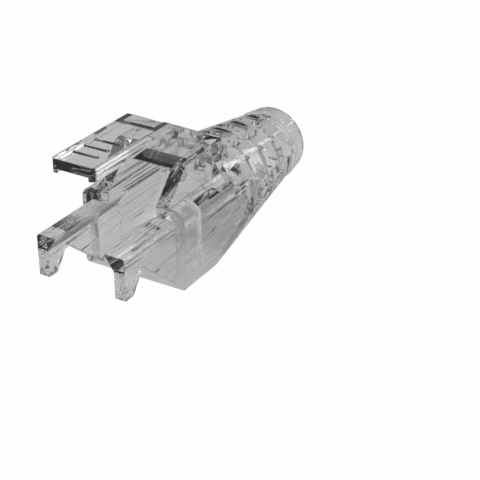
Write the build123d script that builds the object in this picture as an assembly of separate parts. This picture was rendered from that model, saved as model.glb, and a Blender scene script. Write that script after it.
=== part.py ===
from build123d import *
from math import degrees, radians, tan
import os

# Clear strain relief boot for a modular plug, moulded in one piece.
# Y = 0 is the front of the housing, the cable leaves towards +Y, Z = 0 is the flat underside.

# Housing
housing_width = 14.0
housing_height = 9.9
housing_length = 14.2
side_wall = 1.1
floor_thickness = 1.1
roof_thickness = 1.5
shoulder_radius = 1.4
keel_round = 0.5

# Tapered tube
axis_height = 4.83
tube_length = 18.35
tube_front_radius = 7.15
rim_radius = 4.57
tube_wall = 1.15
collar_length = 2.5
collar_step = 0.18
rim_round = 0.3
cable_bore_radius = 3.4

# Flexing slots in the tube
slot_rows = 4
slots_per_row = 5
slot_width = 1.3
slot_pitch = 4.07
slot_arc = 54.0
first_slot_setback = 2.8
last_row_turn = 30.0

# Arms, hooks and gussets
arm_reach = 9.8
arm_outer_width = 11.6
arm_gap = 6.4
hook_gap = 8.8
arm_top = 8.45
arm_knee = 6.6
arm_bottom = 5.6
arm_round = 0.35
web_round = 0.5
hook_tip_height = 3.4
hook_tip_length = 1.4
hook_root_length = 3.0
gusset_reach = 5.9
gusset_foot = 0.6
rib_length = 4.0

# Hood over the plug latch
hood_width = 9.7
hood_top = 14.25
hood_length = 11.3
hood_front_angle = 45.0
hood_round = 0.55
channel_width = 6.5
channel_roof = 1.15
hood_rear_wall = 1.1
tail_length = 4.3
tail_width = 5.2

# Lever
lever_front = 10.1
lever_width = 5.5
lever_top = 18.35
lever_thickness = 1.15
lever_corner = 0.5
lever_bend = 1.8
bend_round = 1.2
lever_slope = 21.0
root_bend = 7.3
root_slope = 28.0
root_flare_start = 7.4
rail_width = 0.7
rail_depth = 0.45
rail_taper_start = -4.5
fin_end = 3.7
fin_round = 1.0

# Grip ribs on the lever
grip_count = 3
grip_length = 3.3
grip_width = 0.5
grip_height = 0.18
grip_pitch = 1.87
grip_setback = 2.45

# Small overlap where one form runs into another
overlap = 0.5

half_width = housing_width / 2
tube_end = housing_length + tube_length
collar_front = tube_end - collar_length
cavity_half_width = half_width - side_wall
cavity_top = housing_height - roof_thickness
base_slope = (tube_front_radius - rim_radius) / tube_length
neck_end_radius = rim_radius + base_slope * collar_length - collar_step
neck_slope = (tube_front_radius - neck_end_radius) / (collar_front - housing_length)


def tube_radius(y):
    """Outer radius of the tapered tube, also run forward of the housing's rear."""
    return tube_front_radius + neck_slope * (housing_length - y)


def block(x0, x1, y0, y1, z0, z1):
    """Plain box between two corners."""
    box = Box(x1 - x0, y1 - y0, z1 - z0)
    return Pos((x0 + x1) / 2, (y0 + y1) / 2, (z0 + z1) / 2) * box


def side_prism(points, x0, x1):
    """Prism along X from an outline of (y, z) points."""
    face = make_face(Polyline([(x0, y, z) for y, z in points], close=True))
    return extrude(face, amount=x1 - x0, dir=(1, 0, 0))


def front_prism(points, y0, y1):
    """Prism along Y from an outline of (x, z) points."""
    face = make_face(Polyline([(x, y0, z) for x, z in points], close=True))
    return extrude(face, amount=y1 - y0, dir=(0, 1, 0))


def turned(points):
    """Solid of revolution about the cable axis from an outline of (radius, y) points."""
    face = make_face(Polyline([(r, y, axis_height) for r, y in points], close=True))
    axis = Axis((0, 0, axis_height), (0, 1, 0))
    return revolve(face, axis, 360)


def mirrored(shape):
    """A shape on the +X side together with its twin on the -X side."""
    return shape + mirror(shape, about=Plane.YZ)


def outer_shell():
    """Square housing that runs into the tapered tube, flat along the underside and the flanks."""
    y0 = -overlap
    collar_radius = neck_end_radius + collar_step
    outline = [(0, y0), (tube_radius(y0), y0), (neck_end_radius, collar_front)]
    outline += [(collar_radius, collar_front), (rim_radius, tube_end), (0, tube_end)]
    cone = turned(outline)
    rim = cone.edges().filter_by(GeomType.CIRCLE).sort_by(Axis.Y)[-1]
    cone = fillet(rim, rim_round)
    front = block(-half_width, half_width, 0, hood_length, 0, axis_height)
    keels = [e for e in front.edges().filter_by(Axis.Y) if e.center().Z < axis_height / 2]
    keep = fillet(keels, keel_round)
    keep += block(-half_width, half_width, hood_length, tube_end, 0, 2 * housing_height)
    top = block(-half_width, half_width, 0, housing_length, axis_height - overlap, housing_height)
    shoulders = [e for e in top.edges().filter_by(Axis.Y) if e.center().Z > axis_height]
    return (cone & keep) + fillet(shoulders, shoulder_radius)


def cavity():
    """Open front chamber that narrows with the tube's wall and ends in the cable bore."""
    y0 = -overlap
    inner_end = neck_end_radius - tube_wall
    outline = [(0, y0), (tube_radius(y0) - tube_wall, y0), (inner_end, collar_front - tube_wall)]
    outline += [(cable_bore_radius, collar_front), (cable_bore_radius, tube_end + overlap)]
    outline += [(0, tube_end + overlap)]
    half = cavity_half_width
    rear = tube_end + 2 * overlap
    keep = block(-half, half, y0, hood_length, floor_thickness, axis_height)
    keep += block(-half, half, hood_length, rear, floor_thickness, 2 * housing_height)
    top = block(-half, half, y0, hood_length, axis_height - overlap, cavity_top)
    return (turned(outline) & keep) + top


def hood_solid():
    """Hood with a sloping front, rounded top edges and a tail that falls to the tube."""
    half = hood_width / 2
    foot = cavity_top + overlap / 2
    rise = hood_top - housing_height
    slant = rise / tan(radians(hood_front_angle))
    outline = [(0, foot), (0, housing_height), (slant, hood_top), (hood_length, hood_top)]
    outline += [(hood_length, foot)]
    hood = side_prism(outline, -half, half)
    top_edges = [e for e in hood.edges().filter_by(Axis.Y) if e.center().Z > hood_top - 0.1]
    hood = fillet(top_edges, hood_round)
    rear = Plane(origin=(0, hood_length, 0), x_dir=(1, 0, 0), z_dir=(0, 1, 0))
    start = rear * Pos(0, -(foot + hood_top) / 2) * RectangleRounded(hood_width, hood_top - foot, hood_round)
    tail_end = hood_length + tail_length
    tip_top = axis_height + tube_radius(tail_end) - tube_wall / 2
    tip = rear.offset(tail_length) * Pos(0, -(foot + tip_top) / 2) * RectangleRounded(
        tail_width, tip_top - foot, hood_round)
    return hood + loft([start, tip])


def latch_channel():
    """Room for the plug's latch, open to the front and down into the housing."""
    half = channel_width / 2
    return block(-half, half, -overlap, hood_length - hood_rear_wall, axis_height, hood_top - channel_roof)


def arm_pair():
    """Two arms with hooks, stiffened by gussets that run on inside the housing as ribs."""
    outer = arm_outer_width / 2
    inner_top = arm_gap / 2
    inner_low = hook_gap / 2
    front = -arm_reach
    section = [(inner_top, arm_top), (inner_low, arm_knee), (inner_low, arm_bottom)]
    section += [(outer, arm_bottom), (outer, arm_top)]
    bar = front_prism(section, front, rib_length)
    top_edge = bar.edges().filter_by(Axis.Y).sort_by(lambda e: e.center().X + e.center().Z)[-1]
    bar = fillet(top_edge, arm_round)
    outline = [(front, arm_top - overlap), (front, hook_tip_height)]
    outline += [(front + hook_tip_length, hook_tip_height), (front + hook_root_length, arm_bottom)]
    outline += [(-gusset_reach, arm_bottom), (0, gusset_foot), (rib_length, gusset_foot)]
    outline += [(rib_length, arm_top - overlap)]
    web = side_prism(outline, inner_low, outer)
    notch = [e for e in web.edges().filter_by(Axis.X) if abs(e.center().Z - arm_bottom) < 0.01]
    web = fillet(notch, web_round)
    lining = block(inner_low, half_width - side_wall / 2, 0, rib_length, floor_thickness / 2, cavity_top + overlap)
    return mirrored(bar + web + lining)


def lever_plan():
    """Outline of the lever from above, flaring into the full width of the hood."""
    half = lever_width / 2
    wide = hood_width / 2
    end = hood_length
    with BuildSketch() as sketch:
        with BuildLine():
            a = Line((0, -lever_front), (half, -lever_front))
            b = Line(a @ 1, (half, root_flare_start))
            c = Spline(b @ 1, (wide, end), tangents=[(0, 1), (0.35, 1)])
            Line(c @ 1, (0, end))
            mirror(about=Plane.YZ)
        make_face()
    front = sketch.sketch.vertices().group_by(Axis.Y)[0].group_by(Axis.X)
    return fillet(front[0] + front[-1], lever_corner)


def lever_column():
    """The lever's plan as a tall column that trims its pieces."""
    return extrude(lever_plan(), amount=lever_top + 1)


def lever_drop(y):
    """How far the lever's slab has bent down from its flat top at a place along it."""
    first = max(0, min(y, root_bend) - lever_bend) * tan(radians(lever_slope))
    return first + max(0, y - root_bend) * tan(radians(root_slope))


def lever_solid():
    """Thumb lever: a flat pad that bends down in two stages and lands on the hood."""
    land = hood_length + 1
    stations = [-lever_front, lever_bend, root_bend, land]
    top = [(y, lever_top - lever_drop(y)) for y in stations]
    under = [(y, z - lever_thickness) for y, z in reversed(top)]
    slab = side_prism(top + under, -hood_width, hood_width)
    bends = [e for e in slab.edges().filter_by(Axis.X) if abs(e.center().Y - lever_bend) < 0.01]
    return fillet(bends, bend_round) & lever_column()


def lever_rails():
    """Thin rails under both edges of the pad, running out at the bend."""
    under = lever_top - lever_thickness
    low = under - rail_depth
    inner = lever_width / 2 - rail_width
    outline = [(-lever_front, under + overlap), (-lever_front, low)]
    outline += [(rail_taper_start, low), (lever_bend, under), (lever_bend, under + overlap)]
    return mirrored(side_prism(outline, inner, lever_width / 2)) & lever_column()


def lever_fins():
    """Low fins that carry the pad's edges on past the bend and fall to the hood."""
    inner = lever_width / 2 - rail_width
    root = lever_top - lever_thickness / 2
    start = lever_bend - 1
    low_end = hood_top - channel_roof / 2
    outline = [(start, root), (start, lever_top), (fin_end, lever_top), (hood_length, hood_top)]
    outline += [(hood_length, low_end), (lever_bend, root)]
    fin = side_prism(outline, inner, lever_width / 2)
    crest = [e for e in fin.edges().filter_by(Axis.X)
             if abs(e.center().Y - fin_end) < 0.01 and e.center().Z > lever_top - 0.01]
    return mirrored(fillet(crest, fin_round))


def grip_ribs():
    """Raised bars across the pad."""
    bars = []
    for i in range(grip_count):
        y = grip_setback - lever_front + i * grip_pitch
        bar = extrude(Pos(0, y) * SlotOverall(grip_length, grip_width), amount=grip_height + overlap)
        bar = Pos(0, 0, lever_top - overlap) * bar
        bars.append(fillet(bar.faces().sort_by(Axis.Z)[-1].edges(), grip_width * 0.3))
    return bars


def flex_slots():
    """Rings of round-ended slots cut through the wall of the tube."""
    axis = Axis((0, 0, axis_height), (0, 1, 0))
    far = tube_front_radius + 1
    near = cable_bore_radius - 0.6
    sweep = slot_arc - degrees(slot_width / tube_front_radius)
    half = slot_width / 2
    cutters = []
    for row in range(slot_rows):
        y = housing_length + first_slot_setback + row * slot_pitch
        strip = Polyline([(near, y - half, axis_height), (far, y - half, axis_height),
                          (far, y + half, axis_height), (near, y + half, axis_height)], close=True)
        sector = revolve(make_face(strip), axis, sweep)
        drill = Pos((near + far) / 2, y, axis_height) * Rot(0, 90, 0) * Cylinder(half, far - near)
        slot = sector + drill + drill.rotate(axis, sweep)
        turn = last_row_turn if row == slot_rows - 1 else 0
        for i in range(slots_per_row):
            centre = 90 + turn + i * 360 / slots_per_row
            cutters.append(slot.rotate(axis, -centre - sweep / 2))
    return cutters


def boot():
    """The whole moulding."""
    body = outer_shell() + hood_solid()
    body = body - cavity() - latch_channel()
    body = body - flex_slots()
    body = body + arm_pair() + lever_solid() + lever_rails() + lever_fins()
    return body + grip_ribs()


os.makedirs("parts", exist_ok=True)
export_step(boot(), "parts/boot.step")
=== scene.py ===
import bpy
from math import radians
from mathutils import Matrix, Vector

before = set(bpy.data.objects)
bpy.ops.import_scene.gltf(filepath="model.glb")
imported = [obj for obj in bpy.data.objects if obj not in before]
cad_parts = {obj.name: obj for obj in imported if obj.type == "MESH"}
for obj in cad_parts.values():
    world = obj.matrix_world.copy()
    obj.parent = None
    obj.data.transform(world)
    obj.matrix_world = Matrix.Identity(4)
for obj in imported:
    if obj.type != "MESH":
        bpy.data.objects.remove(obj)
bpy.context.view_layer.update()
print("Frame loaded")


def ramp(tree, value, span, ends=(0, 1)):
    node = tree.nodes.new("ShaderNodeMapRange")
    node.inputs["From Min"].default_value, node.inputs["From Max"].default_value = span
    node.inputs["To Min"].default_value, node.inputs["To Max"].default_value = ends
    tree.links.new(value, node.inputs["Value"])
    return node.outputs["Result"]


def combine(tree, operation, first, second):
    node = tree.nodes.new("ShaderNodeMath")
    node.operation = operation
    tree.links.new(first, node.inputs[0])
    tree.links.new(second, node.inputs[1])
    return node.outputs["Value"]


def mixShaders(tree, share, first, second):
    node = tree.nodes.new("ShaderNodeMixShader")
    tree.links.new(share, node.inputs["Fac"])
    tree.links.new(first, node.inputs[1])
    tree.links.new(second, node.inputs[2])
    return node.outputs["Shader"]


# Clear plastic. The flow ranges are in metres along Y or Z, each from the full marks to none.
plastic = {
    "tint": (1, 1, 1, 1),
    "ior": 1.55,
    "roughness": (0.0, 0.02),
    "shadowTint": (0.96, 0.965, 0.965, 1),
    "depthTint": (0.10, 0.13, 0.13, 1),
    "depthDensity": 12.0,
    "edgeRound": 0.00015,
    "edgeSamples": 4,
    "flowScale": (700, 20, 700),
    "flowDetail": 2,
    "flowRidge": (0.5, 0.6),            # the part of the noise that stands up as a mark
    "flowEnd": (0.013, 0.019),          # where the housing runs into the tube
    "flowStart": (-0.0093, -0.0097),    # just short of the arms' front faces
    "flowTop": (0.0088, 0.0097),        # just under the housing's top
    "flowLever": (-0.0102, -0.0098),    # the lever's front edge has marks too
    "bump": 0.3,
    "bumpDepth": 0.0003,
}


def flowMarks(tree, coords, noise):
    place = tree.nodes.new("ShaderNodeSeparateXYZ")
    tree.links.new(coords.outputs["Object"], place.inputs["Vector"])
    ridge = ramp(tree, noise, plastic["flowRidge"])
    marks = ridge
    for axis, span in (("Y", "flowEnd"), ("Y", "flowStart"), ("Z", "flowTop")):
        fade = ramp(tree, place.outputs[axis], plastic[span], (1, 0))
        marks = combine(tree, "MULTIPLY", marks, fade)
    atLever = ramp(tree, place.outputs["Y"], plastic["flowLever"], (1, 0))
    onLever = combine(tree, "MULTIPLY", ridge, atLever)
    return combine(tree, "MAXIMUM", marks, onLever)


def makePlastic():
    mat = bpy.data.materials.new("clearPlastic")
    mat.use_nodes = True
    tree = mat.node_tree
    nodes, links = tree.nodes, tree.links
    output = nodes["Material Output"]
    shader = nodes["Principled BSDF"]
    shader.inputs["Base Color"].default_value = plastic["tint"]
    shader.inputs["IOR"].default_value = plastic["ior"]
    shader.inputs["Transmission Weight"].default_value = 1.0
    # noise drawn out along the boot, like the flow marks of a moulding
    coords = nodes.new("ShaderNodeTexCoord")
    stretch = nodes.new("ShaderNodeMapping")
    stretch.inputs["Scale"].default_value = plastic["flowScale"]
    links.new(coords.outputs["Object"], stretch.inputs["Vector"])
    flow = nodes.new("ShaderNodeTexNoise")
    flow.inputs["Scale"].default_value = 1.0
    flow.inputs["Detail"].default_value = plastic["flowDetail"]
    links.new(stretch.outputs["Vector"], flow.inputs["Vector"])
    rough = ramp(tree, flow.outputs["Fac"], (0, 1), plastic["roughness"])
    links.new(rough, shader.inputs["Roughness"])
    # the marks go on top of the rounded edges
    edges = nodes.new("ShaderNodeBevel")
    edges.samples = plastic["edgeSamples"]
    edges.inputs["Radius"].default_value = plastic["edgeRound"]
    bump = nodes.new("ShaderNodeBump")
    bump.inputs["Strength"].default_value = plastic["bump"]
    bump.inputs["Distance"].default_value = plastic["bumpDepth"]
    links.new(flowMarks(tree, coords, flow.outputs["Fac"]), bump.inputs["Height"])
    links.new(edges.outputs["Normal"], bump.inputs["Normal"])
    links.new(bump.outputs["Normal"], shader.inputs["Normal"])
    # lamps shine through the walls, a little dimmed, so the floor keeps a soft shadow
    light = nodes.new("ShaderNodeLightPath")
    clear = nodes.new("ShaderNodeBsdfTransparent")
    clear.inputs["Color"].default_value = plastic["shadowTint"]
    surface = mixShaders(tree, light.outputs["Is Shadow Ray"], shader.outputs["BSDF"], clear.outputs["BSDF"])
    links.new(surface, output.inputs["Surface"])
    # long ways through the plastic come out darker
    depth = nodes.new("ShaderNodeVolumeAbsorption")
    depth.inputs["Color"].default_value = plastic["depthTint"]
    depth.inputs["Density"].default_value = plastic["depthDensity"]
    links.new(depth.outputs["Volume"], output.inputs["Volume"])
    return mat


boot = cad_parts["boot"]
boot.data.materials.clear()
boot.data.materials.append(makePlastic())
print("Boot dressed")

camera = {
    "azimuth": 30.72,
    "elevation": 28.58,
    "focalPixels": 1230.0,
    "imagePixels": 480.0,
    "sensor": 36.0,
    "clipStart": 0.001,
    "anchor": (0.007, 0, 0),    # near bottom corner of the mouth
    "anchorPixel": (186.37, 291.44),
    "anchorDepth": 0.13917,
}


def placeCamera():
    az, el = radians(camera["azimuth"]), radians(camera["elevation"])
    turn = Matrix.Rotation(az, 3, "Z") @ Matrix.Rotation(radians(90) - el, 3, "X")
    half = camera["imagePixels"] / 2
    across = (camera["anchorPixel"][0] - half) / camera["focalPixels"]
    down = (camera["anchorPixel"][1] - half) / camera["focalPixels"]
    offset = turn @ Vector((across, -down, -1)) * camera["anchorDepth"]
    data = bpy.data.cameras.new("camera")
    data.sensor_width = camera["sensor"]
    data.lens = camera["focalPixels"] / camera["imagePixels"] * camera["sensor"]
    data.clip_start = camera["clipStart"]
    obj = bpy.data.objects.new("camera", data)
    obj.rotation_euler = turn.to_euler()
    obj.location = Vector(camera["anchor"]) - offset
    bpy.context.collection.objects.link(obj)
    bpy.context.scene.camera = obj


placeCamera()
print("Camera placed")

# The backdrop is plain white to the camera. Gloss and the ways through plastic see it only faintly.
backdrop = {
    "white": (1, 1, 1, 1),
    "floorSize": 4.0,
    "floorColour": (0.48, 0.48, 0.48, 1),
    "floorRough": 0.9,
    "floorShares": {"camera": 0.98, "plastic": 0.05},
    "roomShares": {"camera": 1.0, "plastic": 0.02},
}


def addShare(tree, shares):
    light = tree.nodes.new("ShaderNodeLightPath")
    either = combine(tree, "MAXIMUM", light.outputs["Is Glossy Ray"], light.outputs["Is Transmission Ray"])
    rest = tree.nodes.new("ShaderNodeMath")
    rest.operation = "MULTIPLY"
    rest.inputs[1].default_value = shares["plastic"]
    tree.links.new(either, rest.inputs[0])
    share = tree.nodes.new("ShaderNodeMath")
    share.operation = "MULTIPLY_ADD"
    share.inputs[1].default_value = shares["camera"]
    tree.links.new(light.outputs["Is Camera Ray"], share.inputs[0])
    tree.links.new(rest.outputs["Value"], share.inputs[2])
    return share.outputs["Value"]


def makeFloor():
    bpy.ops.object.select_all(action="DESELECT")
    bpy.ops.mesh.primitive_plane_add(size=backdrop["floorSize"], location=(0, 0, 0))
    floor = bpy.context.object
    floor.name = "floor"
    mat = bpy.data.materials.new("floorSheet")
    mat.use_nodes = True
    tree = mat.node_tree
    sheet = tree.nodes["Principled BSDF"]
    sheet.inputs["Base Color"].default_value = backdrop["floorColour"]
    sheet.inputs["Roughness"].default_value = backdrop["floorRough"]
    white = tree.nodes.new("ShaderNodeEmission")
    white.inputs["Color"].default_value = backdrop["white"]
    share = addShare(tree, backdrop["floorShares"])
    surface = mixShaders(tree, share, sheet.outputs["BSDF"], white.outputs["Emission"])
    tree.links.new(surface, tree.nodes["Material Output"].inputs["Surface"])
    floor.data.materials.append(mat)


makeFloor()
print("Floor laid")

# An even grey room. The dark card behind the boot, opposite the camera, draws its slanted faces.
room = {
    "wall": (0.53, 0.54, 0.55, 1),
    "card": (0.035, 0.037, 0.039, 1),
    "cardWay": (-0.51, 0.86, 0),
    "cardSide": (0.60, 0.80),       # how close to that way the card starts, and where it is full
    "cardLevels": ((0.0, 0.92), (0.18, 0.92), (0.20, 1.0), (0.31, 1.0), (0.37, 0.0)),   # height, darkness
    "strength": 1.0,
}


def cardShare(tree):
    coords = tree.nodes.new("ShaderNodeTexCoord")
    split = tree.nodes.new("ShaderNodeSeparateXYZ")
    tree.links.new(coords.outputs["Generated"], split.inputs["Vector"])
    height = tree.nodes.new("ShaderNodeValToRGB")
    stops = height.color_ramp.elements
    stops.remove(stops[1])
    for step, (level, dark) in enumerate(room["cardLevels"]):
        stop = stops[0] if step == 0 else stops.new(level)
        stop.position = level
        stop.color = (dark, dark, dark, 1)
    tree.links.new(split.outputs["Z"], height.inputs["Fac"])
    toward = tree.nodes.new("ShaderNodeVectorMath")
    toward.operation = "DOT_PRODUCT"
    toward.inputs[1].default_value = room["cardWay"]
    tree.links.new(coords.outputs["Generated"], toward.inputs[0])
    side = ramp(tree, toward.outputs["Value"], room["cardSide"])
    return combine(tree, "MULTIPLY", height.outputs["Color"], side)


def makeRoom():
    world = bpy.data.worlds.new("studio")
    bpy.context.scene.world = world
    world.use_nodes = True
    tree = world.node_tree
    # this node repeats its socket names for every data type, so its colour sockets go by number
    paint = tree.nodes.new("ShaderNodeMix")
    paint.data_type = "RGBA"
    tree.links.new(cardShare(tree), paint.inputs[0])
    paint.inputs[6].default_value = room["wall"]
    paint.inputs[7].default_value = room["card"]
    walls = tree.nodes["Background"]
    tree.links.new(paint.outputs[2], walls.inputs["Color"])
    walls.inputs["Strength"].default_value = room["strength"]
    white = tree.nodes.new("ShaderNodeBackground")
    white.inputs["Color"].default_value = backdrop["white"]
    share = addShare(tree, backdrop["roomShares"])
    surface = mixShaders(tree, share, walls.outputs["Background"], white.outputs["Background"])
    tree.links.new(surface, tree.nodes["World Output"].inputs["Surface"])


makeRoom()

# The glint and rim lamps stand low behind the boot and put sparkles on its edges.
lamps = {
    "aim": (0, 0.01, 0.005),
    "keyLamp": {"place": (0.16, -0.26, 0.43), "side": 0.10, "power": 1.4},
    "glintLamp": {"place": (0.29, 0.35, 0.215), "side": 0.05, "power": 0.045},
    "rimLamp": {"place": (0.14, 0.55, 0.20), "side": 0.08, "power": 0.05},
}


def addLamp(name):
    lamp = lamps[name]
    data = bpy.data.lights.new(name, "AREA")
    data.shape = "SQUARE"
    data.size = lamp["side"]
    data.energy = lamp["power"]
    obj = bpy.data.objects.new(name, data)
    obj.location = lamp["place"]
    way = Vector(lamps["aim"]) - Vector(lamp["place"])
    obj.rotation_euler = way.to_track_quat("-Z", "Y").to_euler()
    bpy.context.collection.objects.link(obj)


for name in ("keyLamp", "glintLamp", "rimLamp"):
    addLamp(name)
bpy.context.scene.view_settings.view_transform = "Standard"
print("Room and lamps placed")
